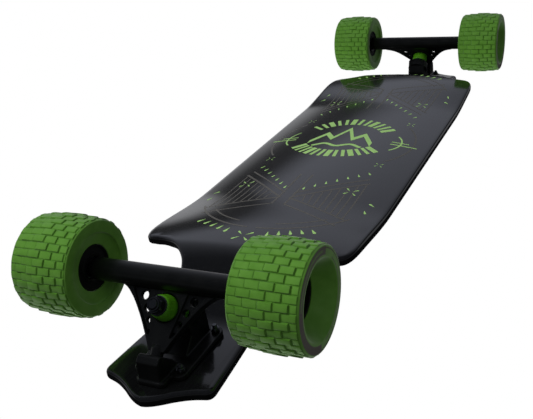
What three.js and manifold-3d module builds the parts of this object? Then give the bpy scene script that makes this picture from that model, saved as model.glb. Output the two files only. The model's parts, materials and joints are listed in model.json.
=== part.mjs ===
// A drop-deck longboard with reverse-kingpin trucks and wide block-tread wheels.
// Units are millimetres. +Z is up and the wheels stand on Z = 0. +X points to the nose and +Y to the
// left side. The origin is on the ground, midway between the two axles.
import * as THREE from 'three';
import { mergeVertices } from 'three/addons/utils/BufferGeometryUtils.js';
import Module from 'manifold-3d';

const wasm = await Module();
wasm.setup();

// ---------------------------------------------------------------- driving dimensions
const GAP = 0.3; // running and seating clearance between neighbours

const WHEEL_RADIUS = 50;
const WHEEL_WIDTH = 65;
const WHEELBASE = 848;
const WHEEL_INNER_FACE = 81.7; // from the centreline to a wheel's inner face
const WHEEL_RIM_RADIUS = 46.5; // where the crowned tread meets the side faces

const CORE_RADIUS = 22.6;
const CORE_START = 5; // from the wheel's inner face
const CORE_END = 46.5;
const HUB_END = 35; // floor of the recess in the core's outer end
const CONE_MOUTH_RADIUS = 35.5; // dish in the outer face

const BEARING_RADIUS = 11;
const BEARING_BORE = 4;
const BEARING_WIDTH = 7;
const BEARING_GAP = 10;
const BEARING_START = 9.7; // from the wheel's inner face to the inner bearing

const AXLE_RADIUS = 4;
const AXLE_HALF_LENGTH = 125.5;
const AXLE_NUT_ACROSS_FLATS = 13;
const AXLE_NUT_HEIGHT = 6.5;

const HANGER_HALF_LENGTH = 89.5;
const HANGER_TUBE_RADIUS = 11;
const STEERING_ANGLE = 48.5; // degrees from the ground up to the steering axis

const RAKE = 4; // how far the axle stands off the steering axis, along the kingpin
const PLATE_TOP = 3; // faces of the hanger plate, along the kingpin from the steering axis
const PLATE_BOTTOM = -5;
const POCKET_FLOOR = 0;
const KINGPIN_FROM_AXLE = 26.5; // along the steering axis
const KINGPIN_RADIUS = 4.75;
const KINGPIN_TOP = 24.5;
const KINGPIN_HEAD = -30; // where the head bears inside the baseplate
const KINGPIN_HEAD_HEIGHT = 6;
const KINGPIN_HEAD_RADIUS = 8;
const RING_TOP = 0; // the web that both bushings press on
const RING_BOTTOM = -4;
const RING_HOLE_RADIUS = 8;
const SEAT_RADIUS = 13.5;
const BUSHING_RADIUS = 12.3;
const CONE_TOP_RADIUS = 9.6; // the roadside bushing tapers to this
const ROAD_WASHER = [14.6, 16.4]; // both faces, along the kingpin from the steering axis
const ROAD_WASHER_RADIUS = 9.3;
const BOARD_WASHER = [-22, -20];
const KINGPIN_NUT_HEIGHT = 7;
const KINGPIN_NUT_ACROSS_FLATS = 14.3;

const PIVOT_RADIUS = 6;
const PIVOT_TIP = 79; // along the steering axis from the axle
const CUP_MOUTH = 69.5;
const CUP_DEPTH = 13;
const CUP_RADIUS = 8.2;

const BASE_BOTTOM_Z = 125; // where the baseplate meets the deck
const BASE_THICKNESS = 5;
const BASE_BACK = -31.5; // baseplate ends, from the axle
const BASE_FRONT = 48;
const BASE_HALF_WIDTH = 27;
const BOLT_CENTRE = 8; // from the axle to the middle of the bolt pattern
const BOLT_HALF_SPACING = [31.75, 20.65];
const BOLT_RADIUS = 2.4;
const BOLT_HEAD_RADIUS = 4.8;
const LOCKNUT_ACROSS_FLATS = 8;
const LOCKNUT_HEIGHT = 5;

const DECK_THICKNESS = 11;
const DECK_HALF_LENGTH = 502;
const DECK_HALF_WIDTH = 124.5;
const PLATFORM_Z = 81; // underside of the deck on the centreline, amidships
const PLATFORM_END_Z = 75.5; // the same where the drop begins
const PLATFORM_DIP = [200, 275]; // stretch over which the underside comes down
const CONCAVE_RISE = [13, 8]; // how far the edges stand above the centreline: amidships, at the drop
const DROP = [309, 391]; // stretch of the bend from the platform up to the end plate
const GRIP_THICKNESS = 1;
const GRIP_INSET = 4;

const COLOUR = {
  deck: 0x17181a,
  grip: 0x101011,
  tyre: 0x57813e,
  core: 0x121312,
  black: 0x161718,
  steel: 0x8d9093,
  dark_steel: 0x2a2c2e,
  urethane: 0x214c0a,
};

// ---------------------------------------------------------------- helpers
const radians = THREE.MathUtils.degToRad;
const { smoothstep, lerp } = THREE.MathUtils;

// A closed three.js geometry as a manifold solid.
function solid(geometry) {
  const bare = geometry.clone();
  bare.deleteAttribute('normal');
  bare.deleteAttribute('uv');
  const merged = mergeVertices(bare, 1e-4);
  return new wasm.Manifold(new wasm.Mesh({
    numProp: 3,
    vertProperties: new Float32Array(merged.attributes.position.array),
    triVerts: new Uint32Array(merged.index.array),
  }));
}

// A manifold solid back as a three.js geometry.
function geometryOf(body) {
  const mesh = body.getMesh();
  const geometry = new THREE.BufferGeometry();
  geometry.setAttribute('position', new THREE.BufferAttribute(new Float32Array(mesh.vertProperties), 3));
  geometry.setIndex(new THREE.BufferAttribute(new Uint32Array(mesh.triVerts), 1));
  geometry.computeVertexNormals();
  return geometry;
}

// A turned piece about Y, from [radius, height] pairs that run upwards on the outside.
function turned(profile, sides) {
  const points = profile.map(([radius, height]) => new THREE.Vector2(radius, height));
  return new THREE.LatheGeometry(points, sides);
}

// A turned ring about Y: the profile is a loop, given without its closing point.
function turnedRing(profile, sides) {
  return turned([...profile, profile[0]], sides);
}

// The same ring with a flat between two corners lowest and highest, and flats that touch the profile.
function turnedRingOnFlats(profile, sides) {
  const spread = 1 / Math.cos(Math.PI / sides);
  const points = [...profile, profile[0]].map(([radius, height]) => new THREE.Vector2(radius * spread, height));
  return new THREE.LatheGeometry(points, sides, Math.PI / sides);
}

// A plain round rod about Y between two heights.
function rod(radius, from, to, sides = 20) {
  return turned([[0, from], [radius, from], [radius, to], [0, to]], sides);
}

// A straight extrusion of an outline in XY, from one height to another.
function extruded(shape, from, to, curveSegments = 8) {
  const options = { depth: to - from, bevelEnabled: false, curveSegments };
  return new THREE.ExtrudeGeometry(shape, options).translate(0, 0, from);
}

function polygon(points) {
  return new THREE.Shape(points.map(([x, y]) => new THREE.Vector2(x, y)));
}

function matrixOf(xAxis, yAxis, zAxis, origin = new THREE.Vector3()) {
  return new THREE.Matrix4().makeBasis(xAxis, yAxis, zAxis).setPosition(origin);
}

// A hexagonal nut about Y, with a plain hole and its edges dressed to a cone.
function nut(acrossFlats, height, holeRadius) {
  const corner = acrossFlats / Math.sqrt(3);
  const dressed = (corner - acrossFlats / 2) * 0.9;
  const hexagon = new THREE.CylinderGeometry(corner, corner, height, 6).translate(0, height / 2, 0);
  const cone = turned([
    [0, 0], [corner - dressed, 0], [corner, dressed * 0.6],
    [corner, height - dressed * 0.6], [corner - dressed, height], [0, height],
  ], 12);
  const blank = solid(hexagon).intersect(solid(cone));
  return geometryOf(blank.subtract(solid(rod(holeRadius, -1, height + 1, 12))));
}

const root = new THREE.Group();

function addPart(group, name, geometry, colour, roughness, metalness = 0) {
  const material = new THREE.MeshStandardMaterial({ color: colour, roughness, metalness });
  const mesh = new THREE.Mesh(geometry, material);
  mesh.name = name;
  group.add(mesh);
  return mesh;
}

// ---------------------------------------------------------------- axes of a truck
// A truck's own frame has its origin at the axle centre, +X towards the end of the board, +Y across
// and +Z up. The steering axis runs up and outwards from the axle to the pivot. The kingpin is square
// to it and points down and outwards.
const angle = radians(STEERING_ANGLE);
const ACROSS = new THREE.Vector3(0, 1, 0);
const STEERING = new THREE.Vector3(Math.cos(angle), 0, Math.sin(angle));
const KINGPIN = new THREE.Vector3(Math.sin(angle), 0, -Math.cos(angle));
const AXIS_POINT = KINGPIN.clone().multiplyScalar(-RAKE);
const KINGPIN_POINT = AXIS_POINT.clone().addScaledVector(STEERING, KINGPIN_FROM_AXLE);

// Plate frame: X across, Y along the steering axis, Z along the kingpin. Its origin is on the
// steering axis, and the axle is RAKE along Z from it.
const plateFrame = matrixOf(ACROSS, STEERING, KINGPIN, AXIS_POINT);
// Kingpin frame: Y along the kingpin, with its origin on the steering axis.
const kingpinFrame = matrixOf(ACROSS, KINGPIN, STEERING.clone().negate(), KINGPIN_POINT);
// Frame for upright turned pieces: Y becomes +Z.
const uprightFrame = new THREE.Matrix4().makeRotationX(Math.PI / 2);

const axleZ = WHEEL_RADIUS;
const baseBottom = BASE_BOTTOM_Z - axleZ;
const baseTop = baseBottom - BASE_THICKNESS;
const boltPlaces = [];
for (const along of [-1, 1]) {
  for (const across of [-1, 1]) {
    boltPlaces.push([BOLT_CENTRE + along * BOLT_HALF_SPACING[0], across * BOLT_HALF_SPACING[1]]);
  }
}

// ---------------------------------------------------------------- deck
// Height of the deck's underside over the ground.
function undersideZ(x, y) {
  const fromMiddle = Math.abs(x);
  const platform = lerp(PLATFORM_Z, PLATFORM_END_Z, smoothstep(fromMiddle, ...PLATFORM_DIP));
  const rise = lerp(CONCAVE_RISE[0], CONCAVE_RISE[1], smoothstep(fromMiddle, ...PLATFORM_DIP));
  const drop = smoothstep(fromMiddle, ...DROP);
  const concave = rise * (1 - drop) * (y / DECK_HALF_WIDTH) ** 2;
  return lerp(platform, BASE_BOTTOM_Z, drop) + concave;
}

// A point at a given height over the underside, measured square to the deck's side profile.
function deckPoint(x, y, height) {
  const slope = (undersideZ(x + 0.5, y) - undersideZ(x - 0.5, y));
  const length = Math.hypot(1, slope);
  return [x - (height * slope) / length, y, undersideZ(x, y) + height / length];
}

// One quarter of the plan outline, from amidships to the tip.
function traceQuarter(path, sx, sy, inset) {
  const at = (x, y) => [sx * (x - inset), sy * Math.max(y - inset, 0)];
  const bend = (a, b, c) => path.bezierCurveTo(...at(...a), ...at(...b), ...at(...c));
  path.lineTo(...at(255, DECK_HALF_WIDTH));
  bend([285, DECK_HALF_WIDTH], [303, 123], [304, 108]);
  bend([305, 84], [315, 68], [330, 56]);
  bend([336, 51.5], [344, 50], [354, 50]);
  bend([380, 50.5], [400, 53.5], [470, 58]);
  bend([474.8, 58.2], [476, 56.5], [477.5, 52.5]);
  bend([479.7, 44], [481.2, 38], [489.2, 25]);
  bend([493, 19.5], [501.3, 9], [DECK_HALF_LENGTH, 0]);
}

// The whole plan outline: each quarter is traced on its own and the four are joined in turn.
function deckOutline(inset = 0) {
  const turn = [[1, 1], [-1, 1], [-1, -1], [1, -1]];
  const points = turn.flatMap(([sx, sy], index) => {
    const path = new THREE.Path();
    path.moveTo(0, sy * (DECK_HALF_WIDTH - inset));
    traceQuarter(path, sx, sy, inset);
    const quarter = path.getPoints(7);
    return (index % 2 === 0 ? quarter.reverse() : quarter).slice(0, -1);
  });
  return new THREE.Shape(points);
}

// A curved slab that follows the deck, between two heights over its underside, raised by a lift.
function deckSlab(from, to, lift = 0) {
  const bend = Array.from({ length: 10 }, (_, i) => lerp(DROP[0], DROP[1], i / 9));
  const half = [0, 100, 200, 225, 250, 275, ...bend, 450, DECK_HALF_LENGTH + 10];
  const stations = [...half.slice(1).reverse().map((x) => -x), ...half];
  const rows = 10;
  const halfWidth = DECK_HALF_WIDTH + 5;
  const slab = new THREE.BoxGeometry(stations.length - 1, 2 * halfWidth, 1, stations.length - 1, rows, 1);
  const position = slab.attributes.position;
  for (let i = 0; i < position.count; i += 1) {
    const station = stations[Math.round(position.getX(i) + (stations.length - 1) / 2)];
    const height = position.getZ(i) > 0 ? to : from;
    position.setXYZ(i, ...deckPoint(station, position.getY(i), height));
  }
  return solid(slab.translate(0, 0, lift));
}

function placedBolts(geometry, z) {
  return [1, -1].flatMap((end) => boltPlaces.map(([x, y]) => solid(
    geometry.clone().applyMatrix4(uprightFrame).translate(end * (WHEELBASE / 2 + x), y, z),
  )));
}

const deckTopZ = BASE_BOTTOM_Z + DECK_THICKNESS;
const outlineBlock = (inset) => solid(extruded(deckOutline(inset), PLATFORM_Z - 40, deckTopZ + 40));

function makeDeck() {
  const hole = turned([
    [0, -1], [BOLT_RADIUS + GAP, -1], [BOLT_RADIUS + GAP, DECK_THICKNESS - 3],
    [BOLT_HEAD_RADIUS + GAP + 0.3, DECK_THICKNESS], [BOLT_HEAD_RADIUS + GAP + 0.3, DECK_THICKNESS + 3],
    [0, DECK_THICKNESS + 3],
  ], 10);
  const blank = deckSlab(0, DECK_THICKNESS).intersect(outlineBlock(0));
  return placedBolts(hole, BASE_BOTTOM_Z).reduce((deck, cut) => deck.subtract(cut), blank);
}

function makeGrip() {
  const lifted = (height) => deckSlab(0, DECK_THICKNESS, height);
  const stock = lifted(GAP + GRIP_THICKNESS).subtract(lifted(GAP));
  const platform = new THREE.BoxGeometry(2 * (DROP[0] - 6), 300, 200).translate(0, 0, deckTopZ);
  return stock.intersect(outlineBlock(GRIP_INSET)).intersect(solid(platform));
}

addPart(root, 'deck', geometryOf(makeDeck()), COLOUR.deck, 0.18);
addPart(root, 'grip_tape', geometryOf(makeGrip()), COLOUR.grip, 0.95);

// ---------------------------------------------------------------- hanger
// Half outline of the plate, from the axle tube to the pivot: [across, along the steering axis].
function plateShape() {
  const shape = new THREE.Shape();
  shape.moveTo(-60, 0);
  shape.lineTo(-60, 8);
  shape.bezierCurveTo(-48, 9.5, -42, 15, -36, 22);
  shape.bezierCurveTo(-27, 33, -22, 41, -14.5, 54);
  shape.lineTo(-8, 66);
  shape.lineTo(8, 66);
  shape.lineTo(14.5, 54);
  shape.bezierCurveTo(22, 41, 27, 33, 36, 22);
  shape.bezierCurveTo(42, 15, 48, 9.5, 60, 8);
  shape.lineTo(60, 0);
  return shape;
}

function makeHanger() {
  const tube = turned([
    [0, -HANGER_HALF_LENGTH], [6.2, -HANGER_HALF_LENGTH], [6.2, -HANGER_HALF_LENGTH + 2],
    [HANGER_TUBE_RADIUS - 1.5, -HANGER_HALF_LENGTH + 4], [HANGER_TUBE_RADIUS, -HANGER_HALF_LENGTH + 8],
    [HANGER_TUBE_RADIUS, HANGER_HALF_LENGTH - 8], [HANGER_TUBE_RADIUS - 1.5, HANGER_HALF_LENGTH - 4],
    [6.2, HANGER_HALF_LENGTH - 2], [6.2, HANGER_HALF_LENGTH], [0, HANGER_HALF_LENGTH],
  ], 20).rotateZ(Math.PI / 2).translate(0, 0, RAKE);
  const plate = extruded(plateShape(), PLATE_BOTTOM, PLATE_TOP);
  const pivot = turned([
    [0, 59], [PIVOT_RADIUS - 1, 60], [PIVOT_RADIUS, 63], [PIVOT_RADIUS, PIVOT_TIP - 5],
    [PIVOT_RADIUS * 0.8, PIVOT_TIP - 2], [0, PIVOT_TIP],
  ], 16);
  const seatWall = rod(SEAT_RADIUS + 3, PLATE_BOTTOM - 2, PLATE_TOP, 24)
    .rotateX(Math.PI / 2).translate(0, KINGPIN_FROM_AXLE, 0);
  let hanger = solid(tube).add(solid(plate)).add(solid(pivot)).add(solid(seatWall));

  const onKingpin = (radius, from, to, sides) => solid(
    rod(radius, from, to, sides).rotateX(Math.PI / 2).translate(0, KINGPIN_FROM_AXLE, 0),
  );
  hanger = hanger.subtract(onKingpin(SEAT_RADIUS, RING_TOP, PLATE_TOP + 30, 24));
  hanger = hanger.subtract(onKingpin(SEAT_RADIUS, PLATE_BOTTOM - 30, RING_BOTTOM, 24));
  hanger = hanger.subtract(onKingpin(RING_HOLE_RADIUS, RING_BOTTOM - 1, RING_TOP + 1, 16));

  // A three-cornered pocket on each side, with four lightening holes that shrink towards the pivot.
  const corners = [[20.3, 11], [39, 11], [29.8, 26.5], [20.4, 40.3], [13, 52.3], [10.3, 52.3]];
  const holes = [[26.5, 17.6, 4.1], [20.6, 28.5, 3.6], [16.3, 39, 2.5], [12.8, 48.8, 1.6]];
  for (const side of [-1, 1]) {
    const pocket = polygon(corners.map(([x, y]) => [side * x, y]));
    hanger = hanger.subtract(solid(extruded(pocket, POCKET_FLOOR, PLATE_TOP + 5)));
    for (const [x, y, radius] of holes) {
      const hole = rod(radius, PLATE_BOTTOM - 5, PLATE_TOP + 5, 10).rotateX(Math.PI / 2);
      hanger = hanger.subtract(solid(hole.translate(side * x, y, 0)));
    }
  }
  const bore = rod(AXLE_RADIUS + GAP, -HANGER_HALF_LENGTH - 1, HANGER_HALF_LENGTH + 1, 12);
  return geometryOf(hanger.subtract(solid(bore.rotateZ(Math.PI / 2).translate(0, 0, RAKE))));
}

// ---------------------------------------------------------------- baseplate
// Side outlines are [along the board, up] from the axle centre. They are extruded across the board.
function sideBlock(points, halfWidth) {
  const block = extruded(polygon(points), -halfWidth, halfWidth);
  return block.rotateX(Math.PI / 2);
}

function alongSteering(geometry) {
  return geometry.applyMatrix4(plateFrame);
}

function alongKingpin(geometry) {
  return geometry.applyMatrix4(kingpinFrame);
}

function pointOnTruck(along, out) {
  return [
    along * STEERING.x + (out - RAKE) * KINGPIN.x,
    along * STEERING.z + (out - RAKE) * KINGPIN.z,
  ];
}

function roundedRectangle(x0, x1, halfWidth, radius) {
  const shape = new THREE.Shape();
  shape.moveTo(x0 + radius, -halfWidth);
  shape.lineTo(x1 - radius, -halfWidth);
  shape.absarc(x1 - radius, -halfWidth + radius, radius, -Math.PI / 2, 0);
  shape.absarc(x1 - radius, halfWidth - radius, radius, 0, Math.PI / 2);
  shape.absarc(x0 + radius, halfWidth - radius, radius, Math.PI / 2, Math.PI);
  shape.absarc(x0 + radius, -halfWidth + radius, radius, Math.PI, 1.5 * Math.PI);
  return shape;
}

function makeBaseplate() {
  const plate = extruded(roundedRectangle(BASE_BACK, BASE_FRONT, BASE_HALF_WIDTH, 7), baseTop, baseBottom, 5);
  const seatFace = BOARD_WASHER[0] - GAP;
  const housing = sideBlock([
    [BASE_BACK + 6, baseBottom - 1],
    [BASE_BACK + 7.5, baseTop - 22],
    pointOnTruck(KINGPIN_FROM_AXLE - 17, seatFace - 5),
    pointOnTruck(KINGPIN_FROM_AXLE - 13, seatFace),
    pointOnTruck(KINGPIN_FROM_AXLE + 14, seatFace),
    pointOnTruck(KINGPIN_FROM_AXLE + 19, seatFace - 7),
    [24, baseBottom - 1],
  ], 14);
  const drum = alongKingpin(rod(17, seatFace - 12, seatFace, 20));
  const pivotBlock = sideBlock([
    [28, baseBottom - 1],
    pointOnTruck(CUP_MOUTH + 0.3, -11.5),
    pointOnTruck(CUP_MOUTH, -9.5),
    pointOnTruck(CUP_MOUTH, 10),
    pointOnTruck(CUP_MOUTH + 2.5, 12.5),
    [58.5, baseTop - 18],
    [60, baseBottom - 1],
  ], 11.5);
  const foot = extruded(roundedRectangle(BASE_FRONT - 20, 61.5, 15, 5), baseTop, baseBottom, 5);
  let base = solid(plate).add(solid(housing)).add(solid(drum)).add(solid(pivotBlock)).add(solid(foot));

  // Kingpin hole and the hollow that its head sits in, open to the deck side.
  base = base.subtract(solid(alongKingpin(rod(KINGPIN_RADIUS + GAP, -40, 0, 14))));
  base = base.subtract(solid(alongKingpin(rod(9, KINGPIN_HEAD - 12, KINGPIN_HEAD, 14))));
  base = base.subtract(solid(new THREE.BoxGeometry(17, 17, 40).translate(-13, 0, baseBottom - 5)));
  // Socket for the pivot cup.
  base = base.subtract(solid(alongSteering(rod(CUP_RADIUS + GAP, CUP_MOUTH - 12, CUP_MOUTH + CUP_DEPTH + GAP, 16))));
  for (const [x, y] of boltPlaces) {
    const hole = rod(BOLT_RADIUS + GAP, -20, 20, 10).applyMatrix4(uprightFrame);
    base = base.subtract(solid(hole.translate(x, y, baseBottom)));
  }
  // A hair of clearance to the deck.
  const keep = new THREE.BoxGeometry(300, 300, 200).translate(0, 0, baseBottom - GAP - 100);
  return geometryOf(base.intersect(solid(keep)));
}

function makePivotCup() {
  const inner = PIVOT_RADIUS + GAP;
  const top = CUP_MOUTH + GAP;
  const bottom = CUP_MOUTH + CUP_DEPTH;
  return turned([
    [inner, top], [CUP_RADIUS, top], [CUP_RADIUS, bottom], [0, bottom],
    [0, PIVOT_TIP + 1.2], [inner, PIVOT_TIP - 2.5], [inner, top],
  ], 16);
}

// ---------------------------------------------------------------- bushings, washers, kingpin
const KINGPIN_CLEAR = KINGPIN_RADIUS + GAP;

// The board side has a barrel that swells a little at mid height, the road side a cone.
function makeBarrel(from, to) {
  return turnedRing([
    [KINGPIN_CLEAR, from], [BUSHING_RADIUS - 1, from], [BUSHING_RADIUS, from + 1.2],
    [BUSHING_RADIUS + 0.3, (from + to) / 2], [BUSHING_RADIUS, to - 1.2], [BUSHING_RADIUS - 1, to],
    [KINGPIN_CLEAR, to],
  ], 20);
}

function makeCone(from, to) {
  return turnedRing([
    [KINGPIN_CLEAR, from], [BUSHING_RADIUS - 0.8, from], [BUSHING_RADIUS, from + 1],
    [BUSHING_RADIUS - 0.2, from + 4.5], [CONE_TOP_RADIUS + 0.9, to - 1.2], [CONE_TOP_RADIUS, to],
    [KINGPIN_CLEAR, to],
  ], 20);
}

function makeFlatWasher([from, to], radius) {
  return turnedRing([
    [KINGPIN_CLEAR, from], [radius, from], [radius, to - 0.3], [radius - 0.3, to], [KINGPIN_CLEAR, to],
  ], 20);
}

// A cupped washer: its lip turns over the barrel.
function makeCupWasher([from, to]) {
  const rim = BUSHING_RADIUS + 1.2;
  return turnedRing([
    [KINGPIN_CLEAR, to], [KINGPIN_CLEAR, from], [BUSHING_RADIUS - 0.4, from],
    [rim, from + 0.9], [rim, to + 0.9], [BUSHING_RADIUS + 0.4, to],
  ], 20);
}

function makeKingpin() {
  const head = new THREE.CylinderGeometry(
    KINGPIN_HEAD_RADIUS, KINGPIN_HEAD_RADIUS, KINGPIN_HEAD_HEIGHT, 6,
  ).translate(0, KINGPIN_HEAD - GAP - KINGPIN_HEAD_HEIGHT / 2, 0);
  const shank = turned([
    [0, KINGPIN_HEAD - 3], [KINGPIN_RADIUS, KINGPIN_HEAD - 3], [KINGPIN_RADIUS, KINGPIN_TOP - 1],
    [KINGPIN_RADIUS - 1, KINGPIN_TOP], [0, KINGPIN_TOP],
  ], 16);
  return geometryOf(solid(head).add(solid(shank)));
}

// ---------------------------------------------------------------- mounting bolts
const screwProfile = [
  [0, -BASE_THICKNESS - LOCKNUT_HEIGHT - 3], [BOLT_RADIUS, -BASE_THICKNESS - LOCKNUT_HEIGHT - 3],
  [BOLT_RADIUS, DECK_THICKNESS - 3], [BOLT_HEAD_RADIUS, DECK_THICKNESS - 0.4],
  [BOLT_HEAD_RADIUS - 0.4, DECK_THICKNESS], [1.6, DECK_THICKNESS], [1.6, DECK_THICKNESS - 2], [0, DECK_THICKNESS - 2],
];

// ---------------------------------------------------------------- trucks
const ironwork = {
  hanger: makeHanger(),
  baseplate: makeBaseplate(),
  pivotCup: makePivotCup(),
  roadBushing: makeCone(RING_TOP + GAP, ROAD_WASHER[0] - GAP),
  boardBushing: makeBarrel(BOARD_WASHER[1] + GAP, RING_BOTTOM - GAP),
  roadWasher: makeFlatWasher(ROAD_WASHER, ROAD_WASHER_RADIUS),
  boardWasher: makeCupWasher(BOARD_WASHER),
  kingpin: makeKingpin(),
  kingpinNut: nut(KINGPIN_NUT_ACROSS_FLATS, KINGPIN_NUT_HEIGHT, KINGPIN_CLEAR),
  axle: turned([
    [0, -AXLE_HALF_LENGTH], [AXLE_RADIUS - 0.8, -AXLE_HALF_LENGTH], [AXLE_RADIUS, -AXLE_HALF_LENGTH + 0.8],
    [AXLE_RADIUS, AXLE_HALF_LENGTH - 0.8], [AXLE_RADIUS - 0.8, AXLE_HALF_LENGTH], [0, AXLE_HALF_LENGTH],
  ], 14),
  screw: turned(screwProfile, 10),
  locknut: nut(LOCKNUT_ACROSS_FLATS, LOCKNUT_HEIGHT, BOLT_RADIUS + GAP),
};

function framedGroup(parent, matrix) {
  const group = new THREE.Group();
  matrix.decompose(group.position, group.quaternion, group.scale);
  parent.add(group);
  return group;
}

function addTruck(end, turn) {
  const truck = new THREE.Group();
  truck.position.set(Math.cos(turn) * WHEELBASE / 2, 0, axleZ);
  truck.rotation.z = turn;
  root.add(truck);
  const plate = framedGroup(truck, plateFrame);
  const kingpin = framedGroup(truck, kingpinFrame);
  const name = (piece) => `${end}_${piece}`;

  addPart(truck, name('baseplate'), ironwork.baseplate, COLOUR.black, 0.45, 0.6);
  addPart(truck, name('axle'), ironwork.axle, COLOUR.steel, 0.3, 1);
  addPart(plate, name('hanger'), ironwork.hanger, COLOUR.black, 0.45, 0.6);
  addPart(plate, name('pivot_cup'), ironwork.pivotCup, COLOUR.core, 0.6);
  addPart(kingpin, name('kingpin'), ironwork.kingpin, COLOUR.dark_steel, 0.35, 1);
  addPart(kingpin, name('roadside_bushing'), ironwork.roadBushing, COLOUR.urethane, 0.4);
  addPart(kingpin, name('boardside_bushing'), ironwork.boardBushing, COLOUR.urethane, 0.4);
  addPart(kingpin, name('roadside_washer'), ironwork.roadWasher, COLOUR.dark_steel, 0.35, 1);
  addPart(kingpin, name('boardside_washer'), ironwork.boardWasher, COLOUR.dark_steel, 0.35, 1);
  addPart(kingpin, name('kingpin_nut'), ironwork.kingpinNut, COLOUR.dark_steel, 0.35, 1)
    .position.set(0, ROAD_WASHER[1] + GAP, 0);

  boltPlaces.forEach(([x, y], index) => {
    const screw = addPart(truck, name(`mounting_screw_${index + 1}`), ironwork.screw, COLOUR.dark_steel, 0.35, 1);
    screw.position.set(x, y, baseBottom);
    screw.rotation.x = Math.PI / 2;
    const locknut = addPart(truck, name(`locknut_${index + 1}`), ironwork.locknut, COLOUR.dark_steel, 0.35, 1);
    locknut.position.set(x, y, baseTop - GAP - LOCKNUT_HEIGHT);
    locknut.rotation.x = Math.PI / 2;
  });
}

addTruck('front', 0);
addTruck('rear', Math.PI);

// ---------------------------------------------------------------- wheels
// A wheel's own Y axis runs outwards from its inner face.
function makeTyre() {
  const bore = CORE_RADIUS + GAP;
  return turnedRingOnFlats([
    [bore, CORE_START], [34.5, 2.5], [34.5, 0], [WHEEL_RIM_RADIUS - 1.8, 0], [WHEEL_RIM_RADIUS, 1.2],
    [WHEEL_RADIUS - 0.9, 9], [WHEEL_RADIUS, 22], [WHEEL_RADIUS, WHEEL_WIDTH - 22],
    [WHEEL_RADIUS - 0.9, WHEEL_WIDTH - 9], [WHEEL_RIM_RADIUS, WHEEL_WIDTH - 1.2],
    [WHEEL_RIM_RADIUS - 1.8, WHEEL_WIDTH], [CONE_MOUTH_RADIUS, WHEEL_WIDTH],
    [bore, CORE_END + 0.3],
  ], 40);
}

function makeCore() {
  const seat = BEARING_RADIUS + GAP;
  const lip = BEARING_RADIUS - 2;
  const inner = BEARING_START + BEARING_WIDTH + GAP;
  const outer = inner + BEARING_GAP - 2 * GAP;
  return turnedRing([
    [seat, CORE_START + 1], [CORE_RADIUS - 1, CORE_START], [CORE_RADIUS, CORE_START + 1],
    [CORE_RADIUS, CORE_END - 0.5], [CORE_RADIUS - 0.5, CORE_END], [CORE_RADIUS - 2.3, CORE_END],
    [CORE_RADIUS - 2.6, HUB_END + 1], [CORE_RADIUS - 3.6, HUB_END], [seat, HUB_END], [seat, outer],
    [lip, outer], [lip, inner], [seat, inner],
  ], 24);
}

function makeBearing() {
  return turnedRing([
    [BEARING_BORE + GAP, 0], [BEARING_RADIUS, 0], [BEARING_RADIUS, BEARING_WIDTH], [BEARING_BORE + GAP, BEARING_WIDTH],
  ], 20);
}

const wheelParts = {
  tyre: makeTyre(),
  core: makeCore(),
  bearing: makeBearing(),
  nut: nut(AXLE_NUT_ACROSS_FLATS, AXLE_NUT_HEIGHT, AXLE_RADIUS + GAP),
};

function addWheel(end, side) {
  const wheel = new THREE.Group();
  const outward = side === 'left' ? 1 : -1;
  wheel.position.set((end === 'front' ? 1 : -1) * WHEELBASE / 2, outward * WHEEL_INNER_FACE, axleZ);
  wheel.rotation.z = outward > 0 ? 0 : Math.PI;
  root.add(wheel);
  const name = (piece) => `${end}_${side}_${piece}`;
  const outerBearing = BEARING_START + BEARING_WIDTH + BEARING_GAP;

  addPart(wheel, name('tyre'), wheelParts.tyre, COLOUR.tyre, 0.7);
  addPart(wheel, name('core'), wheelParts.core, COLOUR.core, 0.5);
  addPart(wheel, name('inner_bearing'), wheelParts.bearing, COLOUR.steel, 0.3, 1)
    .position.set(0, BEARING_START, 0);
  addPart(wheel, name('outer_bearing'), wheelParts.bearing, COLOUR.steel, 0.3, 1)
    .position.set(0, outerBearing, 0);
  addPart(wheel, name('axle_nut'), wheelParts.nut, COLOUR.dark_steel, 0.35, 1)
    .position.set(0, outerBearing + BEARING_WIDTH + 1.3, 0);
}

for (const end of ['front', 'rear']) {
  for (const side of ['left', 'right']) {
    addWheel(end, side);
  }
}

export default root;
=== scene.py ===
"""Looks of a drop-deck longboard with reverse-kingpin trucks and block-tread wheels."""

import json
import math

import bmesh
import bpy
from mathutils import Matrix, Vector

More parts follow.
